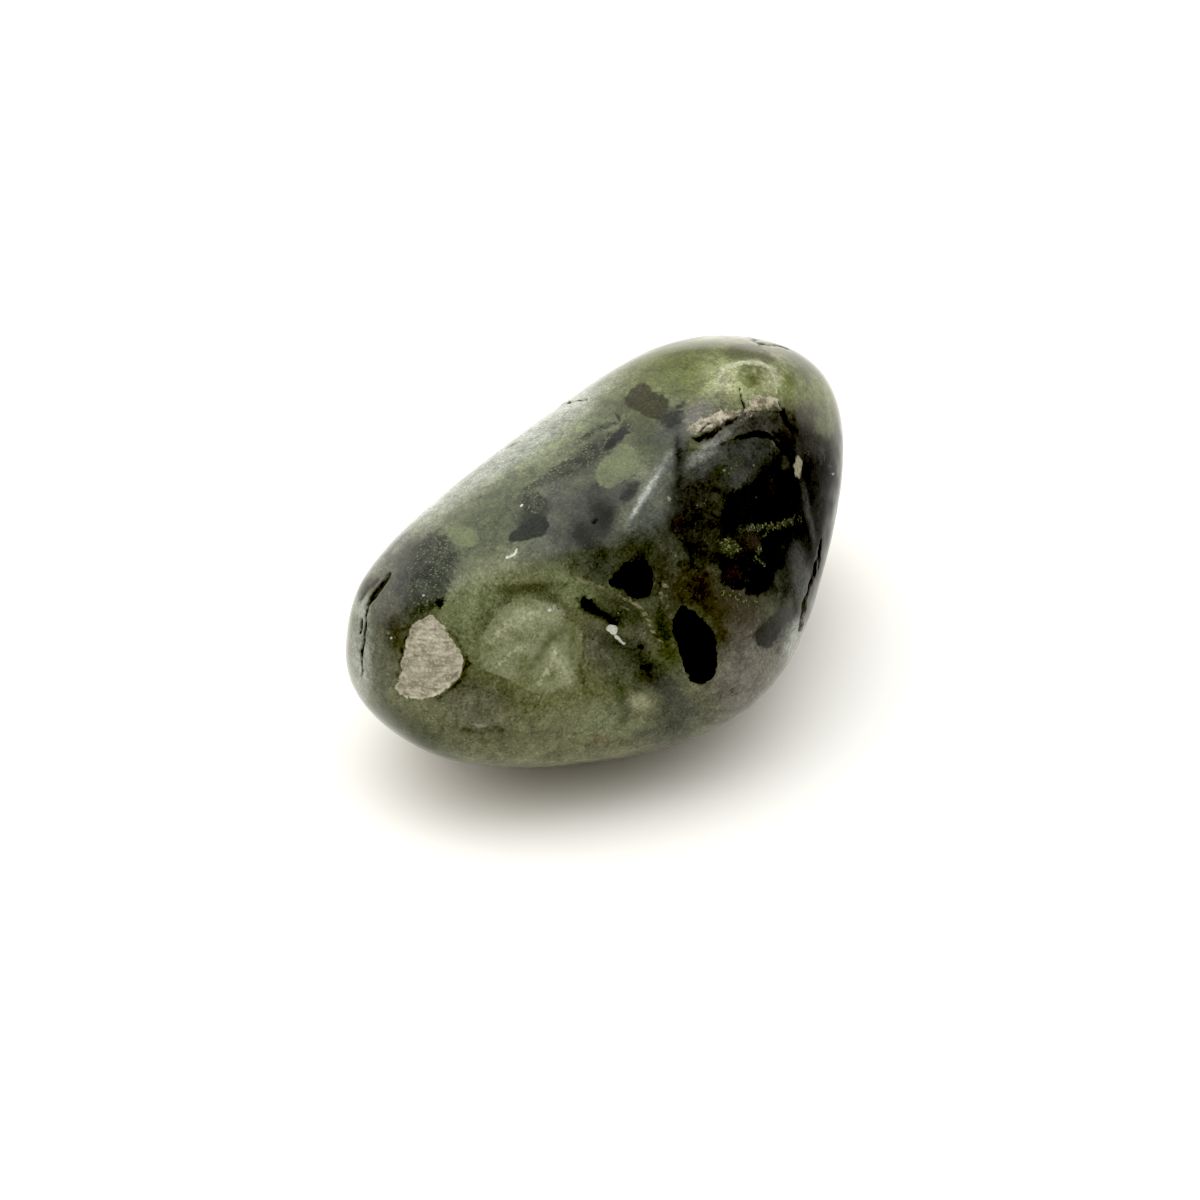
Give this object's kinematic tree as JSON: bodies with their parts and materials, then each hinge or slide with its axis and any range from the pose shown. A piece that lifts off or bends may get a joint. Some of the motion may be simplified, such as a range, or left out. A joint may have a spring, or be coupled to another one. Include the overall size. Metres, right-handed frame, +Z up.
{
  "type": "amphibole tumbled stone",
  "caption": "Polished tumbled pebble of pale green quartz-rich rock with dark amphibole, wedge-shaped, lying on a small flat spot.",
  "frame": {"origin": "on the surface that the stone lies on, under the middle of its bounding box", "axes": "+Z up; +X along the stone, towards its thick end; the steep side shown in the picture's right half faces -Y"},
  "size_m": [0.0256, 0.016, 0.0132],
  "materials": {
    "polished_stone": "tumble polished, glossy with small pits and cracks"
  },
  "bodies": {
    "root": {"tumbled_stone": "polished_stone"}
  },
  "joints": []
}
